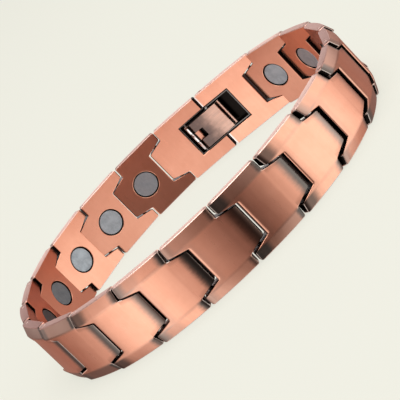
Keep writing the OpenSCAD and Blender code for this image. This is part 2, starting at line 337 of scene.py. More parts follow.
def refillRims(bm):
    # the two long side faces, filled again inside their own edges
    for z, way in ((0, -1), (plate["width"], 1)):
        flat = [f for f in bm.faces if all(abs(v.co.z - z) < meshing["onFace"] for v in f.verts)]
        edges = unique(e for f in flat for e in f.edges)
        inner = [e for e in edges if all(f in flat for f in e.link_faces)]
        outer = [e for e in edges if e not in inner]
        held = {v for e in outer for v in e.verts}
        loose = [v for v in unique(v for e in inner for v in e.verts) if v not in held]
        bmesh.ops.delete(bm, geom=flat, context="FACES_ONLY")
        bmesh.ops.delete(bm, geom=[e for e in inner if e.is_valid], context="EDGES")
        bmesh.ops.delete(bm, geom=[v for v in loose if v.is_valid], context="VERTS")
        bmesh.ops.triangle_fill(bm, edges=[e for e in outer if e.is_valid], use_beauty=True,
                                normal=(0, 0, way))


def plateMesh(name, corners, top, holes, level=plate["archFrom"]):
    # the plate is made flat, its holes are cut, and what lies above the level of its holes is arched
    bm = bmesh.new()
    ringStack(bm, plateRings(corners))
    mesh = cutAway(closedMesh(name, bm), holes)
    bm = bmesh.new()
    bm.from_mesh(mesh)
    splitLargeFaces(bm)
    cutCells(bm, corners, level)
    full = fieldY - plate["rollDepth"]
    for vertex in bm.verts:
        if vertex.co.y > level:
            drop = outerSurface(vertex.co.x, vertex.co.z - halfW, top) - fieldY
            vertex.co.y += drop * min((vertex.co.y - level) / (full - level), 1)
    refillRims(bm)
    splitLargeFaces(bm)
    bm.to_mesh(mesh)
    bm.free()
    markSharp(mesh)
    return mesh


def boxCut(bm, low, high, chamfer, ledge, ledgeY):
    # rectangular cut from the inner side, with a chamfered mouth and a ledge round its walls
    flare = chamfer + meshing["overcut"]
    rings = []
    for y, out in ((high[1], -ledge), (ledgeY, -ledge), (ledgeY, 0), (innerY + chamfer, 0),
                   (innerY - meshing["overcut"], flare), (low[1], flare)):
        rings.append([Vector((x, y, z)) for x, z in (
            (low[0] - out, low[2] - out), (high[0] + out, low[2] - out),
            (high[0] + out, high[2] + out), (low[0] - out, high[2] + out))])
    ringStack(bm, rings)


def boreCut(bm, x, y, blindTop=None):
    # a pin's bore with eased mouths, right through or up to a blind top
    r, ease = pinShape["diameter"] / 2 + pinShape["clearance"], pinShape["mouthEase"]
    mouth = [(r + ease + pinShape["mouthFlare"], -1), (r + ease, -meshing["overcut"]), (r, ease)]
    if blindTop is None:
        profile = mouth + [(radius, plate["width"] - z) for radius, z in mouth[::-1]]
    else:
        profile = mouth + [(r, blindTop)]
    lathe(bm, profile, Vector((x, y, 0)), "Z", pinShape["sides"])


def seatCut(bm):
    r = magnetShape["diameter"] / 2 + magnetShape["seatGap"]
    ease, soft, overcut = magnetShape["seatEase"], magnetShape["seatSoft"], meshing["overcut"]
    deep = innerY + magnetShape["drop"] + magnetShape["thickness"] + magnetShape["under"]
    profile = [(r + ease + overcut, innerY - 1), (r + ease + overcut, innerY - overcut),
               (r + soft, innerY + soft), (r, innerY + ease), (r, deep)]
    lathe(bm, profile, Vector((magnetShape["x"], 0, halfW)), "Y", magnetShape["sides"])


def linkTemplate(length):
    holes = bmesh.new()
    seatCut(holes)
    boreCut(holes, 0, 0)
    boreCut(holes, length, 0)
    return plateMesh("link", tongueEnd() + notchEnd(length), plate["earReach"] + length / 2, holes)


def magnetTemplate():
    bm = bmesh.new()
    r, e = magnetShape["diameter"] / 2, magnetShape["edgeRound"]
    y = innerY + magnetShape["drop"]
    profile = [(r * magnetShape["faceR"], y)] + quarterRound(r, e, y, 1)
    profile += quarterRound(r, e, y + magnetShape["thickness"], -1)[::-1]
    lathe(bm, profile, Vector((magnetShape["x"], 0, halfW)), "Y", magnetShape["sides"])
    mesh = closedMesh("magnet", bm)
    markSharp(mesh, magnetShape["break"])
    return mesh


def rodMesh(name, low, high):
    bm = bmesh.new()
    r, e, crown = pinShape["diameter"] / 2, pinShape["endRound"], pinShape["crown"]
    profile = [(r * pinShape["crownR"], low - crown)] + quarterRound(r, e, low, 1)
    profile += quarterRound(r, e, high, -1)[::-1] + [(r * pinShape["crownR"], high + crown)]
    lathe(bm, profile, Vector((0, 0, 0)), "Z", pinShape["sides"])
    mesh = closedMesh(name, bm)
    markSharp(mesh, pinShape["break"])
    return mesh


# Shader tools. A fade is given as where it is none, then where it is full.

def link(tree, source, target):
    tree.links.new(source, target)


def feed(tree, socket, value):
    if isinstance(value, bpy.types.NodeSocket):
        link(tree, value, socket)
    else:
        socket.default_value = value


def maths(tree, operation, *terms, clamp=False):
    made = tree.nodes.new("ShaderNodeMath")
    made.operation, made.use_clamp = operation, clamp
    for socket, term in zip(made.inputs, terms):
        feed(tree, socket, term)
    return made.outputs[0]


def plus(tree, first, second):
    return maths(tree, "ADD", first, second)


def minus(tree, first, second):
    return maths(tree, "SUBTRACT", first, second)


def times(tree, first, *others):
    for other in others:
        first = maths(tree, "MULTIPLY", first, other)
    return first


def largest(tree, values):
    most = values[0]
    for value in values[1:]:
        most = maths(tree, "MAXIMUM", most, value)
    return most


def vectorMaths(tree, operation, *terms):
    made = tree.nodes.new("ShaderNodeVectorMath")
    made.operation = operation
    for socket, term in zip(made.inputs, terms):
        feed(tree, socket, term)
    return made.outputs


def splitVector(tree, vector):
    made = tree.nodes.new("ShaderNodeSeparateXYZ")
    link(tree, vector, made.inputs[0])
    return made.outputs


def fade(tree, value, none, full):
    made = tree.nodes.new("ShaderNodeMapRange")
    made.interpolation_type = "SMOOTHSTEP"
    for socket, term in zip(made.inputs, (value, none, full)):
        feed(tree, socket, term)
    return made.outputs[0]


def around(tree, value, middle, spread):
    # a value from 0 to 1, spread evenly round a middle
    return maths(tree, "MULTIPLY_ADD", value, spread, middle - spread / 2)


def rising(tree, value, least, most=1.0):
    return maths(tree, "MULTIPLY_ADD", value, most - least, least, clamp=True)


def blendColour(tree, factor, first, second):
    made = tree.nodes.new("ShaderNodeMix")
    made.data_type = "RGBA"
    for place, value in ((0, factor), (6, first), (7, second)):
        feed(tree, made.inputs[place], value)
    return made.outputs[2]


def blendValue(tree, factor, first, second):
    made = tree.nodes.new("ShaderNodeMix")
    for place, value in ((0, factor), (2, first), (3, second)):
        feed(tree, made.inputs[place], value)
    return made.outputs[0]


def attribute(tree, name, output="Vector"):
    made = tree.nodes.new("ShaderNodeAttribute")
    made.attribute_name = name
    return made.outputs[output]


def fromMiddle(tree, z):
    # distance from the middle of the band's width
    return maths(tree, "ABSOLUTE", minus(tree, z, halfW))


def stretched(tree, vector, scale):
    made = tree.nodes.new("ShaderNodeMapping")
    feed(tree, made.inputs["Vector"], vector)
    feed(tree, made.inputs["Scale"], scale)
    return made.outputs[0]


def noiseValue(tree, vector, scale, detail, roughness):
    made = tree.nodes.new("ShaderNodeTexNoise")
    for name, value in (("Vector", vector), ("Scale", scale), ("Detail", detail), ("Roughness", roughness)):
        feed(tree, made.inputs[name], value)
    return made.outputs["Fac"]


def newGroup(name, inputs, outputs):
    # a shader group from its inputs with their usual values, and the names of its value outputs
    tree = bpy.data.node_groups.new(name, "ShaderNodeTree")
    for label, value in inputs.items():
        kind = "NodeSocketVector" if isinstance(value, tuple) else "NodeSocketFloat"
        tree.interface.new_socket(label, in_out="INPUT", socket_type=kind).default_value = value
    for label in outputs:
        tree.interface.new_socket(label, in_out="OUTPUT", socket_type="NodeSocketFloat")
    return tree, tree.nodes.new("NodeGroupInput").outputs, tree.nodes.new("NodeGroupOutput").inputs


def useGroup(tree, group, values):
    made = tree.nodes.new("ShaderNodeGroup")
    made.node_tree = group
    for name, value in values.items():
        feed(tree, made.inputs[name], value)
    return made.outputs


# Noises are (scale, detail, roughness)
grainLook = {
    "stretch": (9.0, 3.0, 0.35), "fine": (1.0, 5.0, 0.7), "broad": (0.23, 2.0, 0.5),
    "fineShare": 0.65, "contrast": (0.3, 0.7), "cloud": (3.0, 0.6), "cloudContrast": (0.32, 0.68),
}


def brushedGrainGroup():
    # fine drawn lines: dense across the brushing, long along it
    tree, given, out = newGroup("brushedGrain", {
        "Place": (0, 0, 0), "Stretch": grainLook["stretch"], "Seed": 0.0}, ["Lines", "Height"])
    moved = vectorMaths(tree, "ADD", given["Place"], given["Seed"])[0]
    spot = stretched(tree, moved, given["Stretch"])
    fine = noiseValue(tree, spot, *grainLook["fine"])
    broad = noiseValue(tree, spot, *grainLook["broad"])
    broad = times(tree, broad, 1 - grainLook["fineShare"])
    lines = maths(tree, "MULTIPLY_ADD", fine, grainLook["fineShare"], broad)
    feed(tree, out["Lines"], fade(tree, lines, *grainLook["contrast"]))
    feed(tree, out["Height"], fine)
    return tree


def softCloudGroup():
    # slow uneven tone, from handling and tarnish
    tree, given, out = newGroup("softCloud", {"Place": (0, 0, 0), "Size": 3.0, "Seed": 0.0}, ["Cloud"])
    moved = vectorMaths(tree, "ADD", given["Place"], given["Seed"])[0]
    cloud = noiseValue(tree, moved, maths(tree, "DIVIDE", 1.0, given["Size"]), *grainLook["cloud"])
    feed(tree, out["Cloud"], fade(tree, cloud, *grainLook["cloudContrast"]))
    return tree


# Fades in millimetres from an edge. Grey patina and its black core grow as an end ages.
patina = {
    "ragged": 0.5, "ragStretch": (1.2, 1.2, 4.0), "ragNoise": (1.0, 3.0, 0.6), "coreRagged": 0.6,
    "outerFace": (-0.35, 0.1), "offRims": (halfW - 0.08, halfW - 0.2), "downwards": (11.5, 3.0),
    "upperShare": 0.96, "slopes": (ridgeAt - 0.5, ridgeAt + 0.1), "past": 0.02,
    "shoulderSides": (0.05, -0.25), "notchSides": (0.05, -0.15),
    "wall": (0.05, 0.01), "wallMore": 0.02, "worn": (0.14, 0.05), "partingHighlight": (0.46, 0.05),
    "seatWall": (0.04, 0.01), "seatMouth": (0.03, 0.09), "seatFloor": 0.15,
    "tip": (2.3, 0.5), "tipLeast": 0.6, "tipMost": 1.6, "shoulder": (2.0, 0.3),
    "ear": (3.3, 0.6), "oldEar": (4.6, 1.8), "earLeast": 0.75, "notch": (1.9, 0.3), "notchShare": 0.25,
    "ridge": (0.5, 0.05), "ridgeShare": 0.2, "ridgeEnd": 0.45, "ridgeEndReach": (5.0, 1.5),
    "oldFrom": 0.35, "halfway": (0.3, 0.75), "core": (1.1, 0.25), "coreShares": (0.92, 0.25, 0.6, 0.75),
    "tipCore": (0.6, 0.1), "oldTipCore": (3.3, 1.3), "tipCoreLeast": 0.15, "coreClear": (0.10, 0.20),
    "strength": 0.97, "strengthPerTone": 3.0,
    "grey": (0.095, 0.078, 0.066, 1), "paleGrey": (0.30, 0.255, 0.225, 1),
    "black": (0.010, 0.008, 0.007, 1), "wornColour": (0.60, 0.50, 0.44, 1),
    # the last colour is a painted white highlight for a square end
    "partingHighlightColour": (1.0, 0.97, 0.94, 1),
}


def agedFade(tree, value, age, young, old):
    # a fade whose two ends move with age
    none, full = (maths(tree, "MULTIPLY_ADD", age, late - early, early) for early, late in zip(young, old))
    return fade(tree, value, none, full)


def jointPatinaGroup():
    # darkening round a plate's joints, from a point's own place on the plate in millimetres
    tree, given, out = newGroup("jointPatina", {
        "Place": (0, 0, 0), "Length": 10.6, "Ragged": patina["ragged"], "Strength": 1.0, "Slopes": 0.0,
        "Tongue": 1.0, "Tip Age": 0.45, "Notch": 1.0, "Ear Age": 0.7, "Seat": -farOff,
        "Square": -farOff, "Square Black": 0.0, "Square Worn": 0.0,
    }, ["Grey", "Black", "Worn", "Parting", "Old"])
    x, y, z = splitVector(tree, given["Place"])
    w = fromMiddle(tree, z)
    fromEar = minus(tree, x, given["Length"])
    rag = noiseValue(tree, stretched(tree, given["Place"], patina["ragStretch"]), *patina["ragNoise"])
    rag = times(tree, minus(tree, rag, 0.5), given["Ragged"])
    outer = fade(tree, y, *patina["outerFace"])
    onSlope = fade(tree, w, *patina["slopes"])

    # distance into the plate from each kind of edge, and where that edge is
    slant, lean = math.tan(taper), math.cos(taper)
    tongueHalf, notchHalf = (maths(tree, "MULTIPLY_ADD", reach, slant, jointHalf(0, 0))
                             for reach in (x, fromEar))
    tip, shoulder = minus(tree, x, tipX), minus(tree, x, shoulderX)
    ear, notch = minus(tree, earX, fromEar), minus(tree, notchX, fromEar)
    side, earSide = (maths(tree, "MULTIPLY_ADD", inwards, lean, -halfGap)
                     for inwards in (minus(tree, tongueHalf, w), minus(tree, w, notchHalf)))
    onTongue = times(tree, maths(tree, "LESS_THAN", x, shoulderX + patina["past"]), given["Tongue"])
    onEar = times(tree, maths(tree, "GREATER_THAN", fromEar, notchX - patina["past"]), given["Notch"])
    onShoulder = times(tree, fade(tree, side, *patina["shoulderSides"]), given["Tongue"])
    onNotch = times(tree, fade(tree, earSide, *patina["notchSides"]), given["Notch"])
    edges = [(tip, onTongue), (side, onTongue), (shoulder, onShoulder),
             (ear, onEar), (notch, onNotch), (earSide, onEar)]

    # black walls of the gaps and of the magnet's seat, patina and painted shade in one, the worn lines beside
    # them, and a painted highlight band at a square end
    blacks = [times(tree, fade(tree, distance, *patina["wall"]), where) for distance, where in edges]
    fromSquare = minus(tree, maths(tree, "ABSOLUTE", minus(tree, x, given["Square"])), halfGap)
    # painted shade: a black band at a square end, as wide as Square Black past its wall
    none, full = (plus(tree, given["Square Black"], limit)
                  for limit in (patina["wall"][0] + patina["wallMore"], patina["wall"][1]))
    blacks.append(fade(tree, fromSquare, none, full))
    seatX = minus(tree, x, given["Seat"])
    seatR = maths(tree, "SQRT", maths(tree, "MULTIPLY_ADD", w, w, times(tree, seatX, seatX)))
    fromSeat = minus(tree, seatR, magnetShape["diameter"] / 2 + magnetShape["seatGap"])
    seatDeep = innerY + magnetShape["drop"] + magnetShape["thickness"] + patina["seatFloor"]
    inSeat = fade(tree, minus(tree, y, innerY), *patina["seatMouth"])
    blacks.append(times(tree, fade(tree, fromSeat, *patina["seatWall"]), inSeat,
                        maths(tree, "LESS_THAN", y, seatDeep)))
    worn = [times(tree, fade(tree, distance, *patina["worn"]), where) for distance, where in edges[:4]]
    feed(tree, out["Worn"], times(tree, largest(tree, worn), outer))
    # painted highlight: a white band along a square end
    partingHighlight = fade(tree, fromSquare, *patina["partingHighlight"])
    feed(tree, out["Parting"], times(tree, partingHighlight, given["Square Worn"]))

    # grey patina
    tipOld, earOld = (fade(tree, given[end], patina["oldFrom"], 1.0) for end in ("Tip Age", "Ear Age"))
    halfway = fade(tree, maths(tree, "DIVIDE", ear, given["Length"]), *patina["halfway"])
    feed(tree, out["Old"], blendValue(tree, halfway, earOld, tipOld))
    tipShare = rising(tree, given["Tip Age"], patina["tipLeast"], patina["tipMost"])
    earShare = rising(tree, given["Ear Age"], patina["earLeast"])
    tipGrey, shoulderGrey, notchGrey = (
        fade(tree, plus(tree, distance, rag), *patina[edge])
        for distance, edge in ((tip, "tip"), (shoulder, "shoulder"), (notch, "notch")))
    earGrey = agedFade(tree, plus(tree, ear, rag), earOld, patina["ear"], patina["oldEar"])
    ridge = fade(tree, maths(tree, "ABSOLUTE", minus(tree, w, ridgeAt)), *patina["ridge"])
    ridgeGrey = maths(tree, "MULTIPLY_ADD", fade(tree, ear, *patina["ridgeEndReach"]),
                      patina["ridgeEnd"], patina["ridgeShare"])
    grey = largest(tree, [
        times(tree, tipGrey, tipShare, given["Tongue"]),
        times(tree, shoulderGrey, onSlope, given["Tongue"]),
        times(tree, earGrey, earShare, onSlope, given["Notch"]),
        times(tree, notchGrey, patina["notchShare"], given["Notch"]),
        times(tree, ridge, ridgeGrey),
        times(tree, onSlope, given["Slopes"]),
    ])
    lower = rising(tree, fade(tree, z, *patina["downwards"]), patina["upperShare"])
    onFace = times(tree, outer, fade(tree, w, *patina["offRims"]))
    grey = times(tree, grey, lower, given["Strength"])
    feed(tree, out["Grey"], maths(tree, "MULTIPLY", grey, onFace, clamp=True))

    # black cores inside the grey
    cores = []
    scales = (rising(tree, tipOld, patina["tipCoreLeast"]), 1.0, onSlope, given["Ear Age"])
    wander = times(tree, rag, patina["coreRagged"])
    for (distance, where), share, scale in zip(edges, patina["coreShares"], scales):
        depth = plus(tree, distance, wander)
        if distance == tip:
            core = agedFade(tree, depth, tipOld, patina["tipCore"], patina["oldTipCore"])
        else:
            core = fade(tree, depth, *patina["core"])
        clear = fade(tree, distance, *patina["coreClear"])
        cores.append(times(tree, core, clear, where, outer, share, scale))
    strength = maths(tree, "MULTIPLY", given["Strength"], 1.0, clamp=True)
    cores = times(tree, largest(tree, cores), strength)
    feed(tree, out["Black"], largest(tree, [*blacks, cores]))
    return tree


brushedGrain = brushedGrainGroup()
softCloud = softCloudGroup()
jointPatina = jointPatinaGroup()
print("shader groups built")


def startMaterial(name):
    made = bpy.data.materials.new(name)
    made.use_nodes = True
    return made, made.node_tree, made.node_tree.nodes["Principled BSDF"]


def finishMetal(tree, shader, colour, roughness, height, lineDepth):
    # every metal here ends in a colour, a roughness and the fine relief of its lines
    link(tree, colour, shader.inputs["Base Color"])
    link(tree, roughness, shader.inputs["Roughness"])
    shader.inputs["Metallic"].default_value = 1.0
    bump = tree.nodes.new("ShaderNodeBump")
    bump.inputs["Strength"].default_value = 1.0
    bump.inputs["Distance"].default_value = lineDepth * mm
    link(tree, height, bump.inputs["Height"])
    link(tree, bump.outputs[0], shader.inputs["Normal"])


copper = {
    "bright": (0.93, 0.46, 0.31, 1), "dull": (0.78, 0.345, 0.22, 1), "inside": (0.41, 0.135, 0.08, 1),
    "rim": (0.88, 0.62, 0.54, 1), "shadedRim": (0.33, 0.17, 0.145, 1), "rimShare": 0.9,
    "toneSpread": 0.06, "grainSeed": 97.0, "cloudSeed": 31.0, "cloudSize": 3.5,
    "cloudShare": 0.3, "lineShare": 0.14, "insideFace": (0.12, 0.02), "rimEdge": (halfW - 0.2, halfW - 0.1),
    "roughness": 0.3, "roughSpread": 0.06, "patinaRoughness": 0.36, "rimRoughness": 0.45,
    "lineDepth": 0.0014, "rimStretch": (5.0, 0.6, 0.6), "rimNoise": (1.0, 2.0, 0.6), "rimLines": 16.0,
    "hollowMouth": (0.04, 0.12), "hollowFloor": (0.1, 0.05), "hollowSide": (0.06, 0.03),
    "ledgeEdge": 0.05, "ledgeWithin": 0.02,
}


def hollowMasks(tree, x, y, w, hollow):
    # painted shade inside the sunk hollow that the clasp lies between, and a painted highlight on the floor
    # of the ledge round its walls
    none, full = copper["hollowSide"]
    half, start, end = hollow["width"] / 2, hollow["start"], hollow["end"]
    inside = times(
        tree, fade(tree, minus(tree, y, innerY), *copper["hollowMouth"]),
        fade(tree, minus(tree, y, hollow["floorY"]), *copper["hollowFloor"]),
        fade(tree, w, half + none, half + full),
        fade(tree, x, start - none, start - full), fade(tree, x, end + none, end + full))
    rim, soft = hollow["rim"], copper["ledgeEdge"]
    onLedge = times(
        tree, maths(tree, "COMPARE", y, hollow["ledgeY"], copper["ledgeWithin"]), inside,
        fade(tree, w, half - rim, half - rim - soft),
        fade(tree, x, start + rim, start + rim + soft), fade(tree, x, end - rim, end - rim - soft))
    return inside, onLedge


def copperMaterial(name, ends, hollow=None):
    # brushed copper with its patina, painted shade on some inner faces, rims and hollows, black gap walls
    # that are patina and painted shade in one, and painted highlights on a square end and a ledge; ends are
    # the joint patina's own inputs for this kind of link
    made, tree, shader = startMaterial(name)
    place = attribute(tree, "linkPlace")
    tone = attribute(tree, "linkTone", "Fac")
    x, y, z = splitVector(tree, place)
    w = fromMiddle(tree, z)
    inner, slopes, rimShade = splitVector(tree, attribute(tree, "linkAge"))
    tipAge, earAge = splitVector(tree, attribute(tree, "endAge"))[:2]
    grain = useGroup(tree, brushedGrain, {"Place": place, "Seed": times(tree, tone, copper["grainSeed"])})
    cloud = useGroup(tree, softCloud, {
        "Place": place, "Size": copper["cloudSize"], "Seed": times(tree, tone, copper["cloudSeed"])})["Cloud"]
    strength = maths(tree, "MULTIPLY_ADD", tone, patina["strengthPerTone"], patina["strength"])
    age = useGroup(tree, jointPatina, {
        "Place": place, "Strength": strength, "Slopes": slopes, "Tip Age": tipAge, "Ear Age": earAge, **ends})

    drawn = maths(tree, "MULTIPLY_ADD", grain["Lines"], copper["lineShare"], tone)
    dullness = maths(tree, "MULTIPLY_ADD", cloud, copper["cloudShare"], drawn, clamp=True)
    colour = blendColour(tree, dullness, copper["bright"], copper["dull"])
    # painted shade: the inner faces of some links are darkened and reddened, link by link
    onInside = fade(tree, minus(tree, y, innerY), *copper["insideFace"])
    colour = blendColour(tree, times(tree, inner, onInside), colour, copper["inside"])
    # painted shade: the rims of some links are darkened, link by link
    onRim = fade(tree, w, *copper["rimEdge"])
    rimColour = blendColour(tree, rimShade, copper["rim"], copper["shadedRim"])
    colour = blendColour(tree, times(tree, onRim, copper["rimShare"]), colour, rimColour)
    greyed = blendColour(tree, age["Old"], patina["paleGrey"], patina["grey"])
    colour = blendColour(tree, age["Grey"], colour, greyed)
    colour = blendColour(tree, age["Worn"], colour, patina["wornColour"])
    # painted highlight: the white band on a square end
    colour = blendColour(tree, age["Parting"], colour, patina["partingHighlightColour"])
    if hollow:
        inside, onLedge = hollowMasks(tree, x, y, w, hollow)
        # the hollow is painted black as shade, and its ledge painted grey as a highlight
        dark = largest(tree, [age["Black"], inside])
        colour = blendColour(tree, dark, colour, patina["black"])
        colour = blendColour(tree, onLedge, colour, hollow["grey"])
    else:
        colour = blendColour(tree, age["Black"], colour, patina["black"])

    rough = around(tree, grain["Lines"], copper["roughness"], copper["roughSpread"])
    rough = blendValue(tree, age["Grey"], rough, copper["patinaRoughness"])
    rough = blendValue(tree, onRim, rough, copper["rimRoughness"])
    across = noiseValue(tree, stretched(tree, place, copper["rimStretch"]), *copper["rimNoise"])
    height = blendValue(tree, onRim, grain["Height"], times(tree, across, copper["rimLines"]))
    finishMetal(tree, shader, colour, rough, height, copper["lineDepth"])
    return made


def magnetMaterial():
    made, tree, shader = startMaterial("groundMagnet")
    place = attribute(tree, "linkPlace")
    tone = attribute(tree, "linkTone", "Fac")
    grain = useGroup(tree, brushedGrain, {
        "Place": place, "Stretch": magnetShape["stretch"],
        "Seed": times(tree, tone, magnetShape["grainSeed"])})
    cloud = useGroup(tree, softCloud, {
        "Place": place, "Size": magnetShape["cloudSize"],
        "Seed": times(tree, tone, magnetShape["cloudSeed"])})["Cloud"]
    shade = maths(tree, "MULTIPLY_ADD", grain["Lines"], magnetShape["lineShare"],
                  times(tree, cloud, magnetShape["cloudShare"]), clamp=True)
    colour = blendColour(tree, shade, magnetShape["pale"], magnetShape["dark"])
    # painted shade: the magnets of some links are darkened, link by link
    inner = splitVector(tree, attribute(tree, "linkAge"))[0]
    colour = blendColour(tree, inner, colour, magnetShape["paintedShade"])
    rough = around(tree, cloud, magnetShape["roughness"], magnetShape["roughSpread"])
    finishMetal(tree, shader, colour, rough, grain["Height"], magnetShape["lineDepth"])
    return made


def rodMaterial():
    made, tree, shader = startMaterial("drawnSteel")
    place = attribute(tree, "linkPlace")
    grain = useGroup(tree, brushedGrain, {"Place": place, "Stretch": pinShape["stretch"]})
    colour = blendColour(tree, grain["Lines"], pinShape["pale"], pinShape["dark"])
    w = fromMiddle(tree, splitVector(tree, place)[2])
    onEnd = fade(tree, w, *(halfW - back for back in pinShape["paleEnd"]))
    colour = blendColour(tree, onEnd, colour, pinShape["end"])
    rough = around(tree, grain["Lines"], pinShape["roughness"], pinShape["roughSpread"])
    finishMetal(tree, shader, colour, rough, grain["Height"], pinShape["lineDepth"])
    return made


def chainTree():
    # a template on every point of the chain, each copy with its own heading and tone
    tree = bpy.data.node_groups.new("chainRepeat", "GeometryNodeTree")
    for label, kind in (("Geometry", "Geometry"), ("Template", "Object"), ("Finish", "Material"),
                        ("Unit", "Float"), ("Tone Seed", "Int"), ("Tone Spread", "Float")):
        tree.interface.new_socket(label, in_out="INPUT", socket_type="NodeSocket" + kind)
    tree.interface.new_socket("Geometry", in_out="OUTPUT", socket_type="NodeSocketGeometry")
    nodes = {name: tree.nodes.new(kind) for name, kind in {
        "given": "NodeGroupInput", "out": "NodeGroupOutput", "shape": "GeometryNodeObjectInfo",
        "here": "GeometryNodeInputPosition", "keep": "GeometryNodeStoreNamedAttribute",
        "heading": "GeometryNodeInputNamedAttribute", "euler": "ShaderNodeCombineXYZ",
        "turn": "FunctionNodeEulerToRotation", "place": "GeometryNodeInstanceOnPoints",
        "random": "FunctionNodeRandomValue", "least": "ShaderNodeMath",
        "tone": "GeometryNodeStoreNamedAttribute", "real": "GeometryNodeRealizeInstances",
        "paint": "GeometryNodeSetMaterial"}.items()}
    nodes["keep"].data_type, nodes["keep"].domain = "FLOAT_VECTOR", "POINT"
    nodes["tone"].data_type, nodes["tone"].domain = "FLOAT", "INSTANCE"
    nodes["heading"].data_type = "FLOAT"
    for node, stored in (("keep", "linkPlace"), ("tone", "linkTone"), ("heading", "heading")):
        nodes[node].inputs["Name"].default_value = stored
    nodes["least"].operation = "MULTIPLY"
    nodes["least"].inputs[1].default_value = -1.0
    for source, output, target, entry in (
            ("given", "Template", "shape", "Object"), ("shape", "Geometry", "keep", "Geometry"),
            ("here", 0, "keep", "Value"), ("given", "Geometry", "place", "Points"),
            ("keep", "Geometry", "place", "Instance"), ("heading", "Attribute", "euler", "Z"),
            ("euler", 0, "turn", 0), ("turn", 0, "place", "Rotation"), ("given", "Unit", "place", "Scale"),
            ("given", "Tone Spread", "least", 0), ("least", 0, "random", 2),
            ("given", "Tone Spread", "random", 3), ("given", "Tone Seed", "random", "Seed"),
            ("place", 0, "tone", "Geometry"), ("random", 1, "tone", "Value"),
            ("tone", "Geometry", "real", 0), ("real", 0, "paint", "Geometry"),
            ("given", "Finish", "paint", "Material"), ("paint", 0, "out", 0)):
        tree.links.new(nodes[source].outputs[output], nodes[target].inputs[entry])
    return tree


chainRepeat = chainTree()

# How dark some links are painted, by link number: painted shade on the inner face, grey on the sloped strips,
# painted shade on the rims
darkeningByLink = {
    2: (0.0, 0.0, 0.5), 3: (0.6, 0.3, 0.65), 4: (0.2, 0.5, 0.85), 5: (0.0, 0.5, 0.75), 8: (0.0, 0.5, 0.0),
    9: (0.0, 0.35, 0.0), 11: (0.0, 0.15, 0.45), 12: (0.0, 0.75, 0.75), 13: (0.6, 0.8, 1.0),
    14: (0.9, 0.5, 0.95), 15: (0.95, 0.0, 0.6), 16: (0.7, 0.0, 0.1), 17: (0.15, 0.0, 0.0),
    19: (0.0, 0.0, 0.5),
}
# How old the patina is at some links' ends, by link number: tip of the tongue, ears beside the notch
endTarnish = {
    6: (0.0, 0.3), 7: (0.45, 1.0), 8: (0.58, 1.0), 9: (1.0, 0.1), 10: (0.76, 0.3), 11: (0.58, 1.0),
    12: (0.62, 0.8),
}
usualEnds = (0.6, 0.6)


def keepOn(mesh, name, values, kind="FLOAT_VECTOR"):
    # one value or vector for every point of a mesh, as flat numbers
    kept = mesh.attributes.new(name, kind, "POINT")
    kept.data.foreach_set("vector" if kind == "FLOAT_VECTOR" else "value", values)


def repeatOnChain(name, template, spots, finish, seed):
    # one mesh of the template, set at every (point, heading) of the chain
    mesh = bpy.data.meshes.new(name)
    mesh.from_pydata([(p.x * mm, p.y * mm, 0) for p, heading in spots], [], [])
    numbers = range(1, len(spots) + 1)
    keepOn(mesh, "heading", [heading for p, heading in spots], "FLOAT")
    keepOn(mesh, "linkAge", [age for n in numbers for age in darkeningByLink.get(n, (0, 0, 0))])
    keepOn(mesh, "endAge", [age for n in numbers for age in (*endTarnish.get(n, usualEnds), 0)])
    piece = meshObject(name, mesh)
    model = meshObject(name + "Template", template)
    grow = piece.modifiers.new("chain", "NODES")
    grow.node_group = chainRepeat
    values = {"Template": model, "Finish": finish, "Unit": mm, "Tone Seed": seed,
              "Tone Spread": copper["toneSpread"]}
    for item in chainRepeat.interface.items_tree:
        if item.in_out == "INPUT" and item.name in values:
            grow[item.identifier] = values[item.name]
    result = evaluatedMesh(piece)
    result.name = name
    piece.modifiers.clear()
    piece.data = result
    bpy.data.objects.remove(model)
    return piece


def singlePiece(name, mesh, origin, heading, finish):
    # a template set once, with its own place kept for the materials
    keepOn(mesh, "linkPlace", [value for vertex in mesh.vertices for value in vertex.co])
    keepOn(mesh, "endAge", [*usualEnds, 0] * len(mesh.vertices))
    mesh.transform(placed(origin, heading))
    mesh.name = name
    piece = meshObject(name, mesh)
    mesh.materials.clear()
    mesh.materials.append(finish)
    return piece


def dress(piece, body, slot, *nodes):
    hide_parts(*nodes)
    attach(piece, body)
    print("made", piece.name, "with", len(piece.data.polygons), "faces")


chain = {"linkSeed": 7, "magnetSeed": 11, "pinSeed": 3}
spans = list(zip(pins[1:], pins[2:] + pins[:1]))
linkSpots = [(start, headingOf(start, end)) for start, end in spans]
pitch = sum((end - start).length for start, end in spans) / len(spans)
linkNumbers = range(1, len(spans) + 1)

linkFinish = copperMaterial("copperLink", {"Length": pitch, "Seat": magnetShape["x"]})
links = repeatOnChain("links", linkTemplate(pitch), linkSpots, linkFinish, chain["linkSeed"])
dress(links, "band", "copper_links", *("link_%02d" % n for n in linkNumbers))
magnets = repeatOnChain("magnets", magnetTemplate(), linkSpots, magnetMaterial(), chain["magnetSeed"])
dress(magnets, "band", "magnets", *("magnet_%02d" % n for n in linkNumbers))
steel = rodMaterial()
rods = repeatOnChain("linkPins", rodMesh("pin", pinShape["inset"], plate["width"] - pinShape["inset"]),
                     [(point, 0.0) for point in pins], steel, chain["pinSeed"])
dress(rods, "band", "steel_pins", "link_pins")

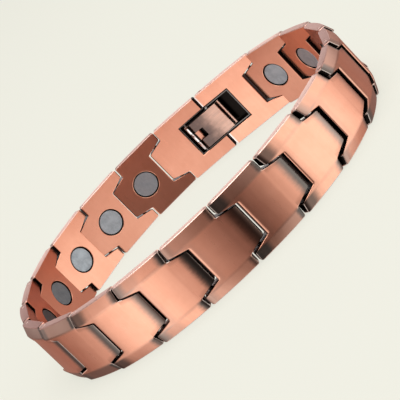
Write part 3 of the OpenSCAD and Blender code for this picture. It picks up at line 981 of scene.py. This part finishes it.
# The two clasp links. Link A carries the recess with the cover and the hook, link B the pocket
clasp = {
    # the ledge colour is a painted highlight on the ledges round the recess and the pocket
    "aLength": 12.75, "recessW": 7.4, "recessDepth": 1.5, "pocketLen": 6.45, "barX": 1.65, "barDepth": 0.8,
    "hingeBack": 5.2, "eyeR": 0.7, "endClear": 0.65, "mouthChamfer": 0.06, "archAbove": 0.02,
    "ledgeDepth": 0.25, "ledgeA": 0.2, "ledgeRimA": 0.07, "ledgeB": 0.42, "ledgeRimB": 0.2,
    "ledgeHighlight": (0.17, 0.155, 0.145, 1), "roundA": 0.24, "roundB": 0.05, "partingBlack": 0.3,
}
hinge = boxMiddle("clasp_pin").xy
claspHeading = headingOf(pins[0], hinge)
parting = pins[0] + Vector((math.cos(claspHeading), math.sin(claspHeading))) * clasp["aLength"]
bHeading = headingOf(parting, pins[1])
bLength = (pins[1] - parting).length
hingeX = clasp["aLength"] - clasp["hingeBack"]
recessX = hingeX - clasp["eyeR"] - clasp["endClear"]
recessLow, recessHigh = halfW - clasp["recessW"] / 2, halfW + clasp["recessW"] / 2
recessFloor = innerY + clasp["recessDepth"]
ledgeY = innerY + clasp["ledgeDepth"]


def claspPlate(name, outline, top, recessFrom, recessTo, ledge, *bores):
    # a long clasp link with its recess open towards the other one
    holes = bmesh.new()
    boxCut(holes, (recessFrom, -2, recessLow), (recessTo, recessFloor, recessHigh),
           clasp["mouthChamfer"], ledge, ledgeY)
    for bore in bores:
        boreCut(holes, *bore)
    return plateMesh(name, outline, top, holes, recessFloor + clasp["archAbove"])


def hollowBetween(start, end, rim):
    return {"start": start, "end": end, "rim": rim, "width": clasp["recessW"], "floorY": recessFloor,
            "ledgeY": ledgeY, "grey": clasp["ledgeHighlight"]}


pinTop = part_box("clasp_pin")[1].z / mm + 2 * pinShape["clearance"]
aMesh = claspPlate("claspLinkA", tongueEnd() + squareEnd(clasp["aLength"] - halfGap, 1, clasp["roundA"]),
                   (plate["earReach"] + clasp["aLength"]) / 2, recessX, clasp["aLength"] + 1, clasp["ledgeA"],
                   (0, 0), (hingeX, 0, pinTop))
# link A's square end is painted black out to partingBlack, as painted shade
aFinish = copperMaterial("copperClaspA", {
    "Length": farOff, "Notch": 0.0, "Square": clasp["aLength"], "Square Black": clasp["partingBlack"],
}, hollowBetween(recessX, farOff, clasp["ledgeRimA"]))
claspA = singlePiece("claspLinkA", aMesh, pins[0], claspHeading, aFinish)
dress(claspA, "band", "copper_links", "clasp_link_a")

bMesh = claspPlate("claspLinkB", squareEnd(halfGap, -1, clasp["roundB"]) + notchEnd(bLength),
                   (bLength + plate["earReach"]) / 2, -1, clasp["pocketLen"], clasp["ledgeB"],
                   (bLength, 0), (clasp["barX"], innerY + clasp["barDepth"]))
# link B's square end carries a painted white highlight band
bFinish = copperMaterial("copperClaspB", {
    "Length": bLength, "Tongue": 0.0, "Square": 0.0, "Square Worn": 1.0,
}, hollowBetween(-farOff, clasp["pocketLen"], clasp["ledgeRimB"]))
claspB = singlePiece("claspLinkB", bMesh, parting, bHeading, bFinish)
dress(claspB, "band", "copper_links", "clasp_link_b")


def softened(node, width):
    # a CAD node's shape in clasp link A's own millimetres, its flat faces joined and its edges rounded
    bm = bmesh.new()
    bm.from_mesh(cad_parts[node].data)
    bm.transform(placed(pins[0], claspHeading).inverted())
    bmesh.ops.remove_doubles(bm, verts=bm.verts, dist=meshing["onFace"])
    bmesh.ops.dissolve_limit(bm, angle_limit=math.radians(meshing["flatWithin"]),
                             verts=bm.verts, edges=bm.edges)
    body = meshObject(node + "Soft", closedMesh(node, bm))
    ease = body.modifiers.new("ease", "BEVEL")
    ease.width, ease.segments = width, 2
    ease.limit_method, ease.angle_limit = "ANGLE", math.radians(meshing["bevelBreak"])
    result = evaluatedMesh(body)
    bpy.data.objects.remove(body)
    markSharp(result)
    return result


# Places along the cover and the hook are millimetres from the hinge
coverShape = {
    "bevel": 0.025, "rise": 0.85, "width": 6, "lipStart": 8.06, "lipWidth": 0.26, "lipEdge": 0.05,
    "freeEnd": (1.0, 0.68, 0.54, 1), "hingeEnd": (0.24, 0.18, 0.16, 1), "fade": (2.1, 6.9), "wander": 1.2,
    "dark": (0.07, 0.055, 0.05, 1), "shade": (0.018, 0.014, 0.012, 1), "flange": (0.30, 0.28, 0.26, 1),
    "stretch": (0.5, 3.0, 8.0), "cloudSize": 2.2, "lineShare": 0.22, "lineDepth": 0.005,
    "under": (0.05, 0.12), "flangeEdge": (0.06, 0.02), "roughness": 0.36, "roughSpread": 0.12,
}
hookShape = {
    "bevel": 0.02, "bright": (0.95, 0.50, 0.35, 1), "dull": (0.72, 0.34, 0.23, 1), "seed": 4.0,
    "stretch": (0.6, 3.0, 7.0), "lineShare": 0.5, "lineDepth": 0.004, "roughness": 0.33, "roughSpread": 0.1,
    "neckFrom": (0.6, 0.48), "neckTo": (1.5, 1.65), "stripFrom": (3.8, 3.2),
}
hingeEye = {"colour": (0.90, 0.87, 0.84, 1), "reach": (0.12, 0.02), "height": (0.35, 0.0), "roughness": 0.2}


def finishWithEye(tree, shader, colour, rough, height, lineDepth, reach, y):
    # the side of the hinge's eyes that faces away from the cover is polished
    eye = times(tree, fade(tree, reach, *hingeEye["reach"]), fade(tree, y, *hingeEye["height"]))
    colour = blendColour(tree, eye, colour, hingeEye["colour"])
    rough = blendValue(tree, eye, rough, hingeEye["roughness"])
    finishMetal(tree, shader, colour, rough, height, lineDepth)


def coverMaterial():
    made, tree, shader = startMaterial("agedCopperCover")
    place = attribute(tree, "linkPlace")
    grain = useGroup(tree, brushedGrain, {"Place": place, "Stretch": coverShape["stretch"]})
    cloud = useGroup(tree, softCloud, {"Place": place, "Size": coverShape["cloudSize"]})["Cloud"]
    x, y, z = splitVector(tree, place)
    reach = minus(tree, x, hingeX)
    wander = plus(tree, around(tree, cloud, 0.0, coverShape["wander"]), reach)
    colour = blendColour(tree, fade(tree, wander, *coverShape["fade"]),
                         coverShape["hingeEnd"], coverShape["freeEnd"])
    drawn = times(tree, grain["Lines"], coverShape["lineShare"])
    colour = blendColour(tree, drawn, colour, coverShape["dark"])
    under = fade(tree, minus(tree, y, innerY - coverShape["rise"]), *coverShape["under"])
    lipStart, lipEdge = coverShape["lipStart"], coverShape["lipEdge"]
    lipEnd = lipStart + coverShape["lipWidth"]
    lip = times(tree, fade(tree, reach, lipStart - lipEdge, lipStart),
                fade(tree, reach, lipEnd + lipEdge, lipEnd))
    colour = blendColour(tree, times(tree, under, minus(tree, 1.0, lip)), colour, coverShape["shade"])
    fromSide = minus(tree, coverShape["width"] / 2, fromMiddle(tree, z))
    onFlange = times(tree, under, fade(tree, fromSide, *coverShape["flangeEdge"]))
    flange = blendColour(tree, cloud, coverShape["flange"], coverShape["dark"])
    colour = blendColour(tree, onFlange, colour, flange)
    rough = around(tree, grain["Lines"], coverShape["roughness"], coverShape["roughSpread"])
    finishWithEye(tree, shader, colour, rough, grain["Height"], coverShape["lineDepth"], reach, y)
    return made


def hookMaterial():
    made, tree, shader = startMaterial("brightCopperHook")
    place = attribute(tree, "linkPlace")
    grain = useGroup(tree, brushedGrain, {
        "Place": place, "Stretch": hookShape["stretch"], "Seed": hookShape["seed"]})
    x, y, z = splitVector(tree, place)
    reach = minus(tree, x, hingeX)
    colour = blendColour(tree, times(tree, grain["Lines"], hookShape["lineShare"]),
                         hookShape["bright"], hookShape["dull"])
    before, after, strip = (fade(tree, reach, *hookShape[end]) for end in ("neckFrom", "neckTo", "stripFrom"))
    shaded = largest(tree, [before, times(tree, after, strip)])
    colour = blendColour(tree, shaded, colour, coverShape["shade"])
    rough = around(tree, grain["Lines"], hookShape["roughness"], hookShape["roughSpread"])
    finishWithEye(tree, shader, colour, rough, grain["Height"], hookShape["lineDepth"], reach, y)
    return made


cover = singlePiece("claspCover", softened("clasp_cover", coverShape["bevel"]),
                    pins[0], claspHeading, coverMaterial())
dress(cover, "cover", "clasp_cover", "clasp_cover")
hook = singlePiece("claspHook", softened("clasp_hook", hookShape["bevel"]),
                   pins[0], claspHeading, hookMaterial())
dress(hook, "band", "clasp_hook", "clasp_hook")
for name, node, heading in (("claspPin", "clasp_pin", claspHeading), ("claspBar", "clasp_bar", bHeading)):
    low, high = (end.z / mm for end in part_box(node))
    rod = singlePiece(name, rodMesh(name, low, high), boxMiddle(node).xy, heading, steel)
    dress(rod, "band", "steel_pins", node)

floorLook = {
    "size": 3.0, "colour": (0.13, 0.13, 0.117, 1), "roughness": 0.9,
    "glow": (0.80, 0.80, 0.715, 1), "glowShare": 0.885,
}


def makeFloor():
    half = floorLook["size"] / 2
    mesh = bpy.data.meshes.new("floor")
    corners = [(-half, -half, 0), (half, -half, 0), (half, half, 0), (-half, half, 0)]
    mesh.from_pydata(corners, [], [(0, 1, 2, 3)])
    made, tree, shader = startMaterial("paleFloor")
    for name, value in (("Base Color", floorLook["colour"]), ("Roughness", floorLook["roughness"]),
                        ("Specular IOR Level", 0.0), ("Emission Color", floorLook["glow"]),
                        ("Emission Strength", floorLook["glowShare"])):
        shader.inputs[name].default_value = value
    mesh.materials.append(made)
    floor = meshObject("floor", mesh)
    floor.visible_glossy = False  # the metal mirrors the soft boxes, as over a lit table


# Soft boxes of the studio, as bearings round the part in degrees from +X. Heights are sines
studio = {
    "boxes": [{"bearing": -12, "full": 10, "gone": 55, "light": (1.2, 1.0, 0.96, 1)},
              {"bearing": -12, "full": 12, "gone": 45, "light": (1.45, 1.5, 1.5, 1)},
              {"bearing": -131, "full": 8, "gone": 58, "light": (0.78, 0.66, 0.64, 1)},
              {"bearing": -161, "full": 8, "gone": 30, "light": (0.86, 0.78, 0.77, 1)},
              {"bearing": -132, "full": 4, "gone": 27, "light": (1.5, 1.52, 1.52, 1)}],
    "backLow": (0.37, 0.24, 0.21, 1), "backHigh": (1.45, 1.38, 1.38, 1), "front": (0.095, 0.052, 0.046, 1),
    "ceiling": (0.20, 0.17, 0.17, 1), "backRise": (-0.02, 0.12), "ceilingRise": (0.34, 0.48),
    "backEdge": (-0.25, 0.35), "narrowRise": (-0.3, 0.3), "narrowLow": 0.02, "narrowHigh": 0.3,
}


def makeStudio():
    world = bpy.data.worlds.new("studio")
    bpy.context.scene.world = world
    world.use_nodes = True
    tree = world.node_tree
    x, y, z = splitVector(tree, tree.nodes.new("ShaderNodeTexCoord").outputs["Generated"])
    plan = tree.nodes.new("ShaderNodeCombineXYZ")
    link(tree, x, plan.inputs[0])
    link(tree, y, plan.inputs[1])
    level = vectorMaths(tree, "NORMALIZE", plan.outputs[0])[0]
    narrowing = rising(tree, fade(tree, z, *studio["narrowRise"]), studio["narrowLow"], studio["narrowHigh"])
    narrowing = times(tree, z, z, narrowing)

    def towards(bearing):
        angle = math.radians(bearing)
        return vectorMaths(tree, "DOT_PRODUCT", level, (math.cos(angle), math.sin(angle), 0))["Value"]

    back = blendColour(tree, fade(tree, z, *studio["backRise"]), studio["backLow"], studio["backHigh"])
    back = blendColour(tree, fade(tree, z, *studio["ceilingRise"]), back, studio["ceiling"])
    colour = blendColour(tree, fade(tree, towards(90), *studio["backEdge"]), studio["front"], back)
    for box in studio["boxes"]:
        seen = minus(tree, towards(box["bearing"]), narrowing)
        gone, full = (math.cos(math.radians(box[edge])) for edge in ("gone", "full"))
        colour = blendColour(tree, fade(tree, seen, gone, full), colour, box["light"])
    link(tree, colour, tree.nodes["Background"].inputs["Color"])


overhead = {"height": 0.9, "size": 0.9, "power": 9.0, "shift": (0.1, -0.1)}


def makeOverhead():
    light = bpy.data.lights.new("overhead", "AREA")
    light.shape, light.size, light.energy = "SQUARE", overhead["size"], overhead["power"]
    made = meshObject("overhead", light)
    made.location = (*overhead["shift"], overhead["height"])


# Camera as fitted to the photograph, in metres: its bearing, its tilt and its roll are degrees
cameraFit = {
    "place": (0.0461678, -0.3066147, 0.0864281), "bearing": -8.5313, "tilt": -14.6631, "roll": 44.6853,
    "lens": 160.458, "sensor": 36, "near": 0.01, "far": 10,
}


def makeCamera():
    bearing, tilt, roll = (math.radians(cameraFit[key]) for key in ("bearing", "tilt", "roll"))
    forward = Vector((math.cos(tilt) * math.sin(bearing), math.cos(tilt) * math.cos(bearing), math.sin(tilt)))
    level = forward.cross(Vector((0, 0, 1))).normalized()
    upright = level.cross(forward)
    right = level * math.cos(roll) - upright * math.sin(roll)
    up = upright * math.cos(roll) + level * math.sin(roll)
    data = bpy.data.cameras.new("camera")
    data.lens, data.sensor_width = cameraFit["lens"], cameraFit["sensor"]
    data.clip_start, data.clip_end = cameraFit["near"], cameraFit["far"]
    made = meshObject("camera", data)
    made.matrix_world = Matrix((right, up, -forward)).transposed().to_4x4()
    made.location = cameraFit["place"]
    bpy.context.scene.camera = made


makeFloor()
makeStudio()
makeOverhead()
makeCamera()
bpy.context.scene.view_settings.view_transform = "Standard"
print("floor, studio and camera are in place")
